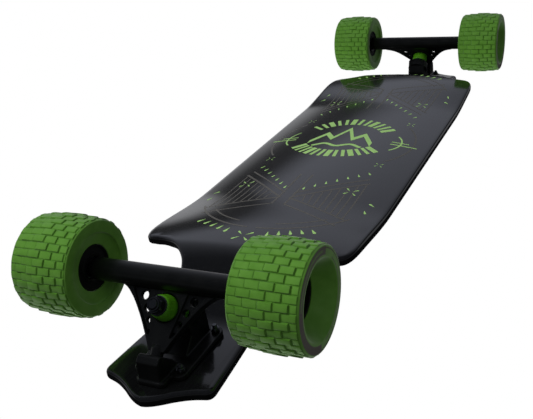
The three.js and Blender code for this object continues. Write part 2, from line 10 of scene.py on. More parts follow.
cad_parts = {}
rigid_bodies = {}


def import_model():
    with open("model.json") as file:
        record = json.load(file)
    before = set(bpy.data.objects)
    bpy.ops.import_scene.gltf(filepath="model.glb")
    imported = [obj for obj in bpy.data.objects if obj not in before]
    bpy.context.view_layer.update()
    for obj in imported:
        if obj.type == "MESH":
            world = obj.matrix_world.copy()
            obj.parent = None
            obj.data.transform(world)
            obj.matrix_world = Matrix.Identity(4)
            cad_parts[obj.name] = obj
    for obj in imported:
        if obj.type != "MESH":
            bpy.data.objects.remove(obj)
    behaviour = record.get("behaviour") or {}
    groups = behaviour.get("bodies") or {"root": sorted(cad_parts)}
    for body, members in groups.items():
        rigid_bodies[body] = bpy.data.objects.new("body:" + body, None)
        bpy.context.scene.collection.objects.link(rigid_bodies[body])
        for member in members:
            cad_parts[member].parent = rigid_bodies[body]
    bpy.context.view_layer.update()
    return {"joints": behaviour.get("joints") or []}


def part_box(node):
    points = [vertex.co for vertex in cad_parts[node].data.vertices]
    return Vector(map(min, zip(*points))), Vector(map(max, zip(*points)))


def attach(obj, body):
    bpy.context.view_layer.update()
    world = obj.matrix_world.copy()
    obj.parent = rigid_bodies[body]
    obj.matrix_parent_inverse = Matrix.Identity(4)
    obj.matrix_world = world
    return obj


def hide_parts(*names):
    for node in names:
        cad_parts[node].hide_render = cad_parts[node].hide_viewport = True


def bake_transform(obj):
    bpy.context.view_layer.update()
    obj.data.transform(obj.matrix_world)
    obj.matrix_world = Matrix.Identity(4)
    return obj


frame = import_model()

# Shapes are worked out in millimetres in the row frame and become metres when a piece is made.
MM = 0.001
JOINTS = {joint["name"]: joint for joint in frame["joints"]}
ENDS = ("front", "rear")
SIDES = ("left", "right")


# Turns a body made about Y, or a plan made flat, to stand along Z.
UPRIGHT = Matrix.Rotation(math.pi / 2, 4, "X")


def box_mm(node):
    low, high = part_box(node)
    return low / MM, high / MM


# ------------------------------------------------------------------ camera and light
CAMERA_PLACE = (0.8848, -0.3622, -0.2743)
CAMERA_LOOKS = (-0.7962, 0.4174, 0.4380)
CAMERA_UPRIGHT = (-0.4441, 0.0885, -0.8916)
CAMERA_LENS_MM = 49.37
CAMERA_SHIFT = (-0.0306, 0.0209)


def make_camera():
    """Below and beyond the nose, upside down, looking back along the underside."""
    looks = Vector(CAMERA_LOOKS).normalized()
    right = looks.cross(Vector(CAMERA_UPRIGHT)).normalized()
    upright = right.cross(looks)
    data = bpy.data.cameras.new("camera")
    data.lens = CAMERA_LENS_MM
    data.shift_x, data.shift_y = CAMERA_SHIFT
    camera = bpy.data.objects.new("camera", data)
    turn = Matrix((right, upright, -looks)).transposed().to_4x4()
    camera.matrix_world = Matrix.Translation(CAMERA_PLACE) @ turn
    bpy.context.scene.collection.objects.link(camera)
    bpy.context.scene.camera = camera


# Name, place, what it is aimed at, width in metres and watts.
LIGHTS = (
    ("key_above", (0.4, 0.8, 1.9), (0, 0, 0.05), 1.4, 34),
    ("fill_above", (-1.5, -0.6, 1.6), (0, 0, 0.05), 1.6, 16),
    ("key_below", (1.1, 1.2, -2.0), (0.5, 0, 0.05), 1.3, 44),
    ("rim_below", (0.9, 0.1, -1.3), (0.42, 0, 0.05), 0.8, 2),
    ("fill_right", (1.3, -1.6, -1.0), (0.3, 0, 0.05), 0.8, 4),
)


def soft_light(name, place, aim, width, watts):
    """A square soft box that lights the board but shows in no reflection."""
    data = bpy.data.lights.new(name, "AREA")
    data.shape = "RECTANGLE"
    data.size = data.size_y = width
    data.energy = watts
    light = bpy.data.objects.new(name, data)
    light.location = place
    towards = Vector(aim) - Vector(place)
    light.rotation_euler = towards.to_track_quat("-Z", "Y").to_euler()
    light.visible_camera = False
    light.visible_glossy = False
    bpy.context.scene.collection.objects.link(light)


# ------------------------------------------------------------------ materials
def colour(text):
    """A hex sRGB colour as the linear one that a shader takes."""
    parts = [int(text[i:i + 2], 16) / 255 for i in (1, 3, 5)]
    return [c / 12.92 if c <= 0.04045 else ((c + 0.055) / 1.055) ** 2.4 for c in parts] + [1.0]


def add_node(tree, kind, inputs, **settings):
    """Adds one node: settings are its own, inputs are values, or sockets to link from."""
    node = tree.nodes.new(kind)
    for name, value in settings.items():
        setattr(node, name, value)
    for name, value in inputs.items():
        if isinstance(value, bpy.types.NodeSocket):
            tree.links.new(value, node.inputs[name])
        else:
            node.inputs[name].default_value = value
    return node


def new_material(name):
    """A material with nothing in it but its output and the object coordinates."""
    material = bpy.data.materials.new(name)
    material.use_nodes = True
    tree = material.node_tree
    tree.nodes.clear()
    output = add_node(tree, "ShaderNodeOutputMaterial", {})
    place = add_node(tree, "ShaderNodeTexCoord", {}).outputs["Object"]
    return material, tree, output, place


def finish_material(tree, output, bump_height, bump_mm, strength, inputs):
    """The material's shader, with a bump where bump_height is given."""
    if bump_height is not None:
        bump = add_node(tree, "ShaderNodeBump", {
            "Height": bump_height, "Distance": bump_mm * MM, "Strength": strength})
        inputs = {**inputs, "Normal": bump.outputs["Normal"]}
    shader = add_node(tree, "ShaderNodeBsdfPrincipled", inputs)
    tree.links.new(shader.outputs["BSDF"], output.inputs["Surface"])


def noise(tree, place, grain_mm, detail=3.0, stretch=(1, 1, 1)):
    """Noise whose features are about grain_mm across."""
    spread = add_node(tree, "ShaderNodeMapping", {"Vector": place, "Scale": stretch})
    return add_node(tree, "ShaderNodeTexNoise", {
        "Vector": spread.outputs["Vector"], "Scale": 1 / (grain_mm * MM), "Detail": detail})


def ramp(tree, value, low, high, dark, light):
    """Two colours with a soft step between them where value goes from low to high."""
    node = add_node(tree, "ShaderNodeValToRGB", {"Fac": value})
    node.color_ramp.elements[0].position = low
    node.color_ramp.elements[0].color = colour(dark)
    node.color_ramp.elements[1].position = high
    node.color_ramp.elements[1].color = colour(light)
    return node.outputs["Color"]


def black_lacquer():
    """Polished black lacquer on maple ply: deep black, mirror-like, with a faint long grain."""
    material, tree, output, place = new_material("black_lacquer_on_maple")
    grain = noise(tree, place, 2.5, 4.0, (0.12, 1, 1)).outputs["Fac"]
    base = ramp(tree, grain, 0.3, 0.75, "#0a0a0b", "#101112")
    finish_material(tree, output, grain, 0.05, 0.08, {
        "Base Color": base, "Roughness": 0.13, "IOR": 1.5, "Coat Weight": 0.4,
        "Coat Roughness": 0.05, "Coat IOR": 1.5})
    return material


def screen_ink(name, dark, light):
    """Screen-printed ink under the lacquer: flat colour with a slight mottle and a soft gloss."""
    material, tree, output, place = new_material(name)
    mottle = noise(tree, place, 3.0, 5.0).outputs["Fac"]
    base = ramp(tree, mottle, 0.35, 0.7, dark, light)
    finish_material(tree, output, None, 0, 0, {
        "Base Color": base, "Roughness": 0.4, "Coat Weight": 0.2, "Coat Roughness": 0.1})
    return material


def grip_grit():
    """Silicon carbide grit on a film: dead black with a sparkle. 0.5 mm grit is drawn at 1 mm."""
    material, tree, output, place = new_material("silicon_carbide_grip")
    grit = add_node(tree, "ShaderNodeTexVoronoi", {"Vector": place, "Scale": 1 / (1.0 * MM)})
    speck = noise(tree, place, 1.2, 2.0).outputs["Fac"]
    base = ramp(tree, speck, 0.56, 0.72, "#101011", "#3b3b3d")
    finish_material(tree, output, grit.outputs["Distance"], 0.35, 0.8, {
        "Base Color": base, "Roughness": 0.82, "Specular IOR Level": 0.35})
    return material


def powder_coat():
    """Satin black powder coat on cast aluminium: slightly pebbled, soft broad highlights."""
    material, tree, output, place = new_material("satin_black_powder_coat")
    pebble = noise(tree, place, 0.7, 2.0).outputs["Fac"]
    patch = noise(tree, place, 14.0, 2.0).outputs["Fac"]
    base = ramp(tree, patch, 0.3, 0.7, "#080909", "#0e0f0f")
    finish_material(tree, output, pebble, 0.06, 0.35, {
        "Base Color": base, "Roughness": 0.33, "IOR": 1.5, "Specular IOR Level": 0.4})
    return material


def tyre_urethane(name, dark, light):
    """Moulded polyurethane tread: matt green with random paler and darker patches. The brick sides
    take a darker copy of it, which is painted shade.
    """
    material, tree, output, place = new_material(name)
    fine = noise(tree, place, 0.8, 3.0).outputs["Fac"]
    patch = noise(tree, place, 9.0, 3.0).outputs["Fac"]
    base = ramp(tree, patch, 0.3, 0.72, dark, light)
    finish_material(tree, output, fine, 0.08, 0.25, {
        "Base Color": base, "Roughness": 0.5, "IOR": 1.5, "Sheen Weight": 0.3,
        "Sheen Roughness": 0.4})
    return material


def tyre_ink():
    """Pad-printed grey on the tyre's outer face: thin, matt, with a fine speckle."""
    material, tree, output, place = new_material("pad_printed_grey")
    speckle = noise(tree, place, 1.0, 4.0).outputs["Fac"]
    base = ramp(tree, speckle, 0.35, 0.7, "#5d5955", "#6b6763")
    finish_material(tree, output, speckle, 0.04, 0.2, {"Base Color": base, "Roughness": 0.6})
    return material


def bushing_urethane():
    """Cast polyurethane: green, slightly waxy and see-through at the skin."""
    material, tree, output, place = new_material("cast_green_bushing")
    cloud = noise(tree, place, 5.0, 2.0).outputs["Fac"]
    base = ramp(tree, cloud, 0.3, 0.7, "#3f7a10", "#4c8a18")
    finish_material(tree, output, cloud, 0.05, 0.1, {
        "Base Color": base, "Roughness": 0.36, "Subsurface Weight": 0.15,
        "Subsurface Radius": (0.002, 0.004, 0.001)})
    return material


def nylon():
    """Glass-filled nylon: black, dull, with a fine moulded texture."""
    material, tree, output, place = new_material("glass_filled_nylon")
    fine = noise(tree, place, 0.6, 3.0).outputs["Fac"]
    base = ramp(tree, fine, 0.3, 0.75, "#0a0a0a", "#121212")
    finish_material(tree, output, fine, 0.05, 0.3, {"Base Color": base, "Roughness": 0.48})
    return material


def turned_steel(name, dark, light, roughness):
    """Turned or ground steel: fine scratches of about 0.3 mm, drawn at 0.6 mm."""
    material, tree, output, place = new_material(name)
    scratch = noise(tree, place, 0.6, 3.0).outputs["Fac"]
    base = ramp(tree, scratch, 0.3, 0.7, dark, light)
    finish_material(tree, output, scratch, 0.03, 0.3, {
        "Base Color": base, "Metallic": 1.0, "Roughness": roughness})
    return material


LACQUER = black_lacquer()
INK_GREEN = screen_ink("green_screen_ink", "#a3d574", "#b4e486")
INK_GHOST = screen_ink("warm_grey_screen_ink", "#46433d", "#524f47")
GRIT = grip_grit()
POWDER = powder_coat()
TREAD = tyre_urethane("moulded_green_urethane", "#558a2b", "#609436")
# A darker copy of the tread for the sides of the bricks: painted shade in the grooves.
TREAD_PAINTED_SIDE_SHADE = tyre_urethane("green_urethane_painted_side_shade", "#48791f", "#508328")
TYRE_INK = tyre_ink()
BUSHING = bushing_urethane()
NYLON = nylon()
BRIGHT_STEEL = turned_steel("ground_steel", "#8b8d8f", "#a5a7a9", 0.28)
BLACK_STEEL = turned_steel("black_oxide_steel", "#55575a", "#6c6e71", 0.36)


# ------------------------------------------------------------------ mesh helpers
def to_mesh(bm, name):
    mesh = bpy.data.meshes.new(name)
    bm.to_mesh(mesh)
    bm.free()
    return mesh


def make_piece(name, bm, materials, sharp=38):
    """Turns a bmesh in millimetres into a named object in metres with smooth shading."""
    bm.transform(Matrix.Scale(MM, 4))
    mesh = to_mesh(bm, name)
    for material in materials:
        mesh.materials.append(material)
    mesh.shade_smooth()
    mesh.set_sharp_from_angle(angle=math.radians(sharp))
    piece = bpy.data.objects.new(name, mesh)
    bpy.context.scene.collection.objects.link(piece)
    return piece


def settle(piece):
    """Applies every modifier on a piece, so that its mesh is final."""
    graph = bpy.context.evaluated_depsgraph_get()
    mesh = bpy.data.meshes.new_from_object(piece.evaluated_get(graph))
    old = piece.data
    piece.modifiers.clear()
    piece.data = mesh
    mesh.name = piece.name
    bpy.data.meshes.remove(old)
    return piece


def combine(base, tool, operation):
    """Boolean of two plain objects. The tool is used up."""
    modifier = base.modifiers.new("combine", "BOOLEAN")
    modifier.operation = operation
    modifier.solver = "EXACT"
    modifier.object = tool
    settle(base)
    bpy.data.objects.remove(tool)
    return base


def blank(bm, matrix=None):
    """A scratch object for booleans, in millimetres."""
    if matrix is not None:
        bm.transform(matrix)
    bmesh.ops.recalc_face_normals(bm, faces=bm.faces)
    thing = bpy.data.objects.new("blank", to_mesh(bm, "blank"))
    bpy.context.scene.collection.objects.link(thing)
    return thing


def lathe(profile, steps=48, closed=False):
    """A turned body about Y from (radius, height) pairs. A closed profile gives a ring."""
    bm = bmesh.new()
    verts = [bm.verts.new((radius, height, 0)) for radius, height in profile]
    pairs = list(zip(verts, verts[1:] + verts[:1] if closed else verts[1:]))
    edges = [bm.edges.new(pair) for pair in pairs]
    bmesh.ops.spin(bm, geom=verts + edges, cent=(0, 0, 0), axis=(0, 1, 0),
                   angle=2 * math.pi, steps=steps, use_merge=True)
    bmesh.ops.remove_doubles(bm, verts=bm.verts, dist=1e-4)
    bmesh.ops.recalc_face_normals(bm, faces=bm.faces)
    return bm


def rod(radius, low, high, steps=32):
    return lathe([(0, low), (radius, low), (radius, high), (0, high)], steps)


def prism(outline, low, high, edge=0.0, segments=2):
    """An upright body from a plan outline, with its top and bottom edges rounded."""
    bm = bmesh.new()
    face = bm.faces.new([bm.verts.new((x, y, low)) for x, y in outline])
    grown = bmesh.ops.extrude_face_region(bm, geom=[face])["geom"]
    top = [item for item in grown if isinstance(item, bmesh.types.BMVert)]
    bmesh.ops.translate(bm, verts=top, vec=(0, 0, high - low))
    if len([f for f in bm.faces if abs(f.normal.z) > 0.9]) < 2:
        bm.faces.new([bm.verts.new((x, y, low)) for x, y in outline])
        bmesh.ops.remove_doubles(bm, verts=bm.verts, dist=1e-5)
    bmesh.ops.recalc_face_normals(bm, faces=bm.faces)
    if edge:
        rims = [e for e in bm.edges if abs(e.verts[0].co.z - e.verts[1].co.z) < 1e-6]
        bmesh.ops.bevel(bm, geom=rims, offset=edge, segments=segments, profile=0.5,
                        affect="EDGES", material=-1, clamp_overlap=True)
    return bm


def cubic(a, b, c, d, steps):
    """Points of a cubic curve after its start."""
    points = []
    for i in range(1, steps + 1):
        t = i / steps
        s = 1 - t
        points.append(tuple(s ** 3 * p + 3 * s * s * t * q + 3 * s * t * t * r + t ** 3 * u
                            for p, q, r, u in zip(a, b, c, d)))
    return points


# ------------------------------------------------------------------ deck
DECK_LOW, DECK_HIGH = box_mm("deck")
HALF_LENGTH = DECK_HIGH.x
HALF_WIDTH = DECK_HIGH.y
DECK_THICKNESS = 11.0
END_PLATE_Z = DECK_HIGH.z - DECK_THICKNESS
PLATFORM_END_Z = DECK_LOW.z
PLATFORM_Z = PLATFORM_END_Z + 5.5
PLATFORM_DIP = (165, 300)  # where the platform eases down to its ends
CONCAVE_RISE = (13, 8)  # how far the sides rise, amidships and at the dip
DROP = (309, 391)  # where the platform climbs to the end plates
DECK_EDGE = 4.2
CURVE_STEPS = 9


def lerp(a, b, t):
    return a + (b - a) * t


def smoothstep(value, low, high):
    t = min(max((value - low) / (high - low), 0), 1)
    return t * t * (3 - 2 * t)


def underside(x, y):
    """Height of the deck's underside over the ground."""
    dip = smoothstep(abs(x), *PLATFORM_DIP)
    drop = smoothstep(abs(x), *DROP)
    concave = lerp(*CONCAVE_RISE, dip) * (1 - drop) * (y / HALF_WIDTH) ** 2
    return lerp(lerp(PLATFORM_Z, PLATFORM_END_Z, dip), END_PLATE_Z, drop) + concave


def on_deck(point):
    """Bends a point of the flat deck: its height is measured square to the deck's side profile."""
    x, y, height = point
    slope = underside(x + 0.5, y) - underside(x - 0.5, y)
    length = math.hypot(1, slope)
    return Vector((x - height * slope / length, y, underside(x, y) + height / length))


def deck_quarter(steps):
    """One quarter of the plan, from amidships to the tip."""
    width, length = HALF_WIDTH, HALF_LENGTH
    curves = [
        ((255, width), (285, width), (303, 123), (304, 108)),
        ((304, 108), (305, 84), (315, 68), (330, 56)),
        ((330, 56), (336, 51.5), (344, 50), (354, 50)),
        ((354, 50), (380, 50.5), (400, 53.5), (467.5, 57.8)),
        ((467.5, 57.8), (472.6, 58), (476, 56.6), (477.7, 51.9)),
        ((477.7, 51.9), (479.7, 44), (481.2, 38), (489.2, 25)),
        ((489.2, 25), (493, 19.5), (length - 0.7, 9), (length, 0)),
    ]
    points = [(0, width), (255, width)]
    for curve in curves:
        points += cubic(*curve, steps)
    return points


def whole_outline(quarter):
    """The quarter mirrored into a closed outline."""
    half = quarter + [(x, -y) for x, y in quarter[-2::-1]]
    return half + [(-x, y) for x, y in half[-2:0:-1]]


def bend_over_deck(bm, steps_x, steps_y):
    """Cuts a flat body into cells along the bends, then lays it on the deck's curve."""
    for axis, places in ((0, steps_x), (1, steps_y)):
        normal = [0, 0, 0]
        normal[axis] = 1
        for place in places:
            point = [value * place for value in normal]
            geometry = bm.verts[:] + bm.edges[:] + bm.faces[:]
            bmesh.ops.bisect_plane(bm, geom=geometry, plane_co=point, plane_no=normal, dist=1e-4)
    for vert in bm.verts:
        vert.co = on_deck(vert.co)


def both_ways(places):
    return [-p for p in places[::-1] if p] + list(places)


BEND_STEPS = both_ways([0, 60, 120, 150] + [165 + 9 * i for i in range(16)]
                       + [303 + 4 * i for i in range(24)])
CROSS_STEPS = both_ways([9 * i for i in range(14)])


SCREW_HOLE_RADIUS = 2.7


def countersinks(top, grow):
    """Cutters for the mounting screws, a little larger than the screws themselves."""
    hole = SCREW_HOLE_RADIUS
    bm = bmesh.new()
    for end in ENDS:
        for number in range(1, 5):
            low, high = box_mm(f"{end}_mounting_screw_{number}")
            centre = (low + high) / 2
            radius = (high.x - low.x) / 2 + grow
            cut = lathe([(0, -20), (hole, -20), (hole, -3), (radius, 0.3), (radius, 9), (0, 9)], 24)
            cut.transform(Matrix.Translation((centre.x, centre.y, top)) @ UPRIGHT)
            mesh = to_mesh(cut, "cut")
            bm.from_mesh(mesh)
            bpy.data.meshes.remove(mesh)
    return bm


def make_deck():
    outline = whole_outline(deck_quarter(CURVE_STEPS))
    bm = prism(outline, 0, DECK_THICKNESS, edge=DECK_EDGE, segments=5)
    bend_over_deck(bm, BEND_STEPS, CROSS_STEPS)
    deck = blank(bm)
    combine(deck, blank(countersinks(DECK_HIGH.z, 0.3)), "DIFFERENCE")
    fine = bmesh.new()
    fine.from_mesh(deck.data)
    bpy.data.objects.remove(deck)
    piece = make_piece("deck_lacquered", fine, [LACQUER], sharp=50)
    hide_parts("deck")
    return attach(piece, "board")


GRIP_GAP = 0.25
GRIP_TOP = 1.2


def make_grip():
    """One sheet over the platform, a little smaller than the deck all round."""
    low, high = box_mm("grip_tape")
    inset = HALF_WIDTH - high.y
    quarter = [(x - inset, y - inset) for x, y in deck_quarter(CURVE_STEPS)]
    quarter = [(0, high.y)] + [p for p in quarter if 0 < p[0] <= high.x and p[1] > 60]
    quarter.append((high.x, quarter[-1][1] - 3))
    half = quarter + [(x, -y) for x, y in quarter[::-1]]
    outline = half + [(-x, y) for x, y in half[-2:0:-1]]
    bm = prism(outline, DECK_THICKNESS + GRIP_GAP, DECK_THICKNESS + GRIP_TOP)
    bend_over_deck(bm, [p for p in BEND_STEPS if abs(p) < high.x], CROSS_STEPS)
    piece = make_piece("grip_sheet", bm, [GRIT])
    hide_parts("grip_tape")
    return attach(piece, "board")


# ------------------------------------------------------------------ print on the underside
INK_PROUD = 0.10
INK_SUNK = 0.06
INK_UNDER = 0.04  # how far the grey ink lies beneath the green, so that the two never share a face


def ink_patch(bm, outline):
    """One flat patch of ink in plan, given a hair of thickness across the deck's underside."""
    mesh = to_mesh(prism(outline, -INK_PROUD, INK_SUNK), "patch")
    bm.from_mesh(mesh)
    bpy.data.meshes.remove(mesh)


def along(point, heading, forward, aside):
    """A point forward and to the side of another, for a heading in radians."""
    c, s = math.cos(heading), math.sin(heading)
    return (point[0] + c * forward - s * aside, point[1] + s * forward + c * aside)


def teardrop(bm, point, heading, length, width):
    """A drop with its round end at the back and its tip forward."""
    outline = [along(point, heading, length / 2, 0)]
    for i in range(9):
        turn = math.pi / 2 + math.pi * i / 8
        outline.append(along(point, heading, -length / 2 + width / 2 + width / 2 * math.cos(turn),
                             width / 2 * math.sin(turn)))
    ink_patch(bm, outline)


def stroke(bm, points, width):
    """A line of even width through plan points."""
    left, right = [], []
    for i, point in enumerate(points):
        before, after = points[max(i - 1, 0)], points[min(i + 1, len(points) - 1)]
        heading = math.atan2(after[1] - before[1], after[0] - before[0])
        left.append(along(point, heading, 0, width / 2))
        right.append(along(point, heading, 0, -width / 2))
    ink_patch(bm, left + right[::-1])


def arc(centre, radius, start, stop, steps=16):
    angles = [math.radians(lerp(start, stop, i / steps)) for i in range(steps + 1)]
    return [(centre[0] + radius * math.cos(a), centre[1] + radius * math.sin(a)) for a in angles]


def spark(bm, point, length, spread, turn=45):
    """Four short rays round an empty middle."""
    for quarter in range(4):
        heading = math.radians(turn + 90 * quarter)
        teardrop(bm, along(point, heading, spread, 0), heading + math.pi, length, length * 0.26)


def drop_row(bm, start, stop, count, aim, length):
    """A row of drops whose tips point at aim."""
    for i in range(count):
        point = (lerp(start[0], stop[0], i / (count - 1)), lerp(start[1], stop[1], i / (count - 1)))
        heading = math.atan2(aim[1] - point[1], aim[0] - point[0])
        teardrop(bm, point, heading, length, length * 0.34)


# Place, length of a ray and how far its middle is from the spark's.
SIDE_SPARKS = ((145, 70, 8, 6.5), (-178, 70.5, 8, 6.5), (59, 77, 5, 4.2), (-93, 77, 5, 4.2))


def green_print():
    """Sparks, rows of drops and an abstract peak emblem, mirrored about the centreline."""
    bm = bmesh.new()
    for side in (1, -1):
        for x, y, length, spread in SIDE_SPARKS:
            spark(bm, (x, side * y), length, spread)
        for x, sign in ((177, 1), (-211, -1)):
            teardrop(bm, (x - 10 * sign, side * 103), side * 1.0, 9, 3)
            teardrop(bm, (x + 10 * sign, side * 101), math.pi / 2 * (1 + sign) + side * 0.4, 9, 3)
        drop_row(bm, (88, side * 74), (152, side * 12.5), 7, (-20, 0), 8)
        drop_row(bm, (-123, side * 74), (-187, side * 12.5), 7, (-20, 0), 8)
        drop_row(bm, (259.5, side * 69), (280, side * 24.5), 5, (180, 0), 11)
        drop_row(bm, (-293, side * 69), (-313, side * 24.5), 5, (-213, 0), 11)
        stroke(bm, [(-13, side * y) for y in (107, 96, 85, 70)], 2.2)
        stroke(bm, [(-21, side * y) for y in (94, 84, 70)], 2.0)
        stroke(bm, arc((-17, side * 48), 36, side * 46, side * 134, 14), 2.2)
    spark(bm, (290, 0), 10, 8)
    spark(bm, (-323, 0), 10, 8)
    emblem(bm, (-22, 0))
    bend_over_deck(bm, BEND_STEPS, CROSS_STEPS)
    return bm


BAR_REACH = (58, 80)


def emblem(bm, centre):
    """Three peaks over a wave, between two arched fans of bars."""
    x0, y0 = centre
    peaks = [(14, -46), (-18, -28), (0, -15), (-38, 0), (0, 15), (-18, 28), (14, 46)]
    foot = [(x + 13, y) for x, y in peaks[::-1]]
    ink_patch(bm, [(x0 + x, y0 + y) for x, y in peaks + foot])
    stroke(bm, [(x0 + 30 + 4 * math.cos(y / 6), y0 + y) for y in range(-36, 37, 3)], 5)
    for sign, count in ((-1, 12), (1, 13)):
        for i in range(count):
            angle = math.radians(lerp(-50, 50, i / (count - 1)))
            hub = x0 + sign * -8
            points = [(hub + sign * reach * math.cos(angle), y0 + reach * math.sin(angle))
                      for reach in BAR_REACH]
            stroke(bm, points, 4.6 if i % 3 else 7.5)


def ghost_print():
    """Faint hatched triangles, rings and bars, alike either side of the emblem."""
    bm = bmesh.new()
    middle, slant = -17, 0.356
    for end in (1, -1):
        for side in (1, -1):
            def line(points, width):
                stroke(bm, [(middle + end * (x - middle), side * y) for x, y in points], width)

            apex, inner, outer = (182, 6), (115, 84), (218, 88)
            line([apex, inner], 2.6)
            line([apex, outer], 2.6)
            line([(168, 6), (104, 80)], 2.2)
            line([(201, 8), (112, 8)], 2.4)
            line([(201, 8), (236, 84)], 2.2)
            for i in range(8):
                y = 22 + 8.5 * i
                far = (y - 6) / 78
                near_end = (lerp(apex[0], inner[0], far) + 3, y)
                far_end = (lerp(apex[0], outer[0], far) - 2, y + 9 * slant)
                line([near_end, far_end], 1.8)
            line(arc((165, 0), 104, 3, 63, 20), 2.4)
            line(arc((165, 0), 92, 14, 50, 14), 2.0)
    for side in (1, -1):
        stroke(bm, arc((middle, 0), 101, side * 52, side * 128, 24), 2.4)
    bmesh.ops.translate(bm, verts=bm.verts, vec=(0, 0, INK_UNDER))
    bend_over_deck(bm, BEND_STEPS, CROSS_STEPS)
    return bm


def make_print():
    for name, bm, ink in (("underside_print", green_print(), INK_GREEN),
                          ("underside_hatching", ghost_print(), INK_GHOST)):
        piece = make_piece(name, bm, [ink])
        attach(piece, "board")


# ------------------------------------------------------------------ truck frames
STEERING = Vector(JOINTS["front_steer"]["axis"]).normalized()
ACROSS = Vector((0, 1, 0))
KINGPIN = ACROSS.cross(STEERING)
KINGPIN_FROM_AXLE = 26.5
RAKE = 4.0  # how far the axle stands off the steering axis
KINGPIN_RADIUS = 4.75
KINGPIN_HOLE = 5.05
AXLE_HOLE = 4.3
# Both faces of each piece on the kingpin, from the hanger's plate.
ROAD_BUSHING = (0.3, 14.3)
ROAD_WASHER = (14.6, 16.4)
KINGPIN_NUT_SEAT = 16.7
BOARD_BUSHING = (-19.7, -4.3)
BOARD_WASHER = (-22, -20)


def basis(x_axis, y_axis, z_axis, origin=(0, 0, 0)):
    turn = Matrix((x_axis, y_axis, z_axis)).transposed().to_4x4()
    return Matrix.Translation(origin) @ turn


PLATE_FRAME = basis(ACROSS, STEERING, KINGPIN, KINGPIN * -RAKE)
KINGPIN_FRAME = basis(ACROSS, KINGPIN, -STEERING, STEERING * KINGPIN_FROM_AXLE - KINGPIN * RAKE)
TO_PLATE = Matrix.Translation((0, KINGPIN_FROM_AXLE, 0)) @ UPRIGHT


def axle_centre(end):
    low, high = box_mm(f"{end}_axle")
    return (low + high) / 2


def truck_frame(end):
    turn = 0 if end == "front" else math.pi
    return Matrix.Translation(axle_centre(end)) @ Matrix.Rotation(turn, 4, "Z")


def copy_mesh(source):
    bm = bmesh.new()
    bm.from_mesh(source)
    return bm


def cast(thing, voxel, rounds):
    """Gives a body built by booleans the soft edges of a casting."""
    remesh = thing.modifiers.new("skin", "REMESH")
    remesh.mode = "VOXEL"
    remesh.voxel_size = voxel
    soften = thing.modifiers.new("soften", "SMOOTH")
    soften.factor = 0.5
    soften.iterations = rounds
    return settle(thing)


# ------------------------------------------------------------------ hanger
HANGER_HALF_LENGTH = box_mm("front_hanger")[1].y
TUBE_RADIUS = 11
PLATE = (-5, 3)
POCKET_FLOOR = 0
SEAT_RADIUS = 13.5
RING = (-4, 0)
POCKET = ((20.3, 11), (39, 11), (29.8, 26.5), (20.4, 40.3), (13, 52.3), (10.3, 52.3))
LIGHTENING_HOLES = ((26.5, 17.6, 4.1), (20.6, 28.5, 3.6), (16.3, 39, 2.6), (12.8, 48.8, 1.8))


def hanger_plate_outline():
    half = [(60, 0), (60, 8)]
    half += cubic((60, 8), (48, 9.5), (42, 15), (36, 22), 8)
    half += cubic((36, 22), (27, 33), (22, 41), (14.5, 54), 8)
    half.append((8, 66))
    return half + [(-x, y) for x, y in half[::-1]]


def hanger_body():
    """Tube, triangular plate, bushing seats and pivot, then the pockets and holes cut out."""
    end = HANGER_HALF_LENGTH
    tube = lathe([(0, -end), (6.2, -end), (6.2, -end + 2), (TUBE_RADIUS - 1.5, -end + 3.5),
                  (TUBE_RADIUS, -end + 8), (TUBE_RADIUS, end - 8), (TUBE_RADIUS - 1.5, end - 3.5),
                  (6.2, end - 2), (6.2, end), (0, end)], 64)
    on_axle = Matrix.Translation((0, 0, RAKE)) @ Matrix.Rotation(math.pi / 2, 4, "Z")
    body = blank(tube, on_axle)
    combine(body, blank(prism(hanger_plate_outline(), *PLATE)), "UNION")
    pivot = lathe([(0, 59), (5, 60), (6, 63), (6, 74), (4.8, 77), (0, 79)], 40)
    combine(body, blank(pivot), "UNION")
    wall = rod(SEAT_RADIUS + 3, PLATE[0] - 2, PLATE[1], 64)
    combine(body, blank(wall, TO_PLATE), "UNION")

    combine(body, blank(rod(SEAT_RADIUS, RING[1], 40, 64), TO_PLATE), "DIFFERENCE")
    combine(body, blank(rod(SEAT_RADIUS, -40, RING[0], 64), TO_PLATE), "DIFFERENCE")
    combine(body, blank(rod(8, RING[0] - 1, RING[1] + 1, 40), TO_PLATE), "DIFFERENCE")
    for side in (1, -1):
        pocket = prism([(side * x, y) for x, y in POCKET], POCKET_FLOOR, 20)
        combine(body, blank(pocket), "DIFFERENCE")
        for x, y, radius in LIGHTENING_HOLES:
            hole = rod(radius, -20, 20, 28)
            combine(body, blank(hole, Matrix.Translation((side * x, y, 0)) @ UPRIGHT), "DIFFERENCE")
    bore = rod(AXLE_HOLE, -end - 1, end + 1, 32)
    combine(body, blank(bore, on_axle), "DIFFERENCE")
    return cast(body, 0.6, 4)


# ------------------------------------------------------------------ baseplate
BASE_THICKNESS = 5
BASE_BOTTOM = END_PLATE_Z - axle_centre("front").z
BASE_TOP = BASE_BOTTOM - BASE_THICKNESS


def on_truck(along_steering, out):
    point = STEERING * along_steering + KINGPIN * (out - RAKE)
    return (point.x, point.z)


def rounded_plate(x0, x1, half_width, radius):
    corners = [(x1 - radius, half_width - radius, 0), (x0 + radius, half_width - radius, 90),
               (x0 + radius, -half_width + radius, 180), (x1 - radius, -half_width + radius, 270)]
    outline = []
    for x, y, start in corners:
        outline += arc((x, y), radius, start, start + 90, 6)
    return outline


def side_block(points, half_width):
    bm = prism(points, -half_width, half_width)
    bm.transform(UPRIGHT)
    return blank(bm)


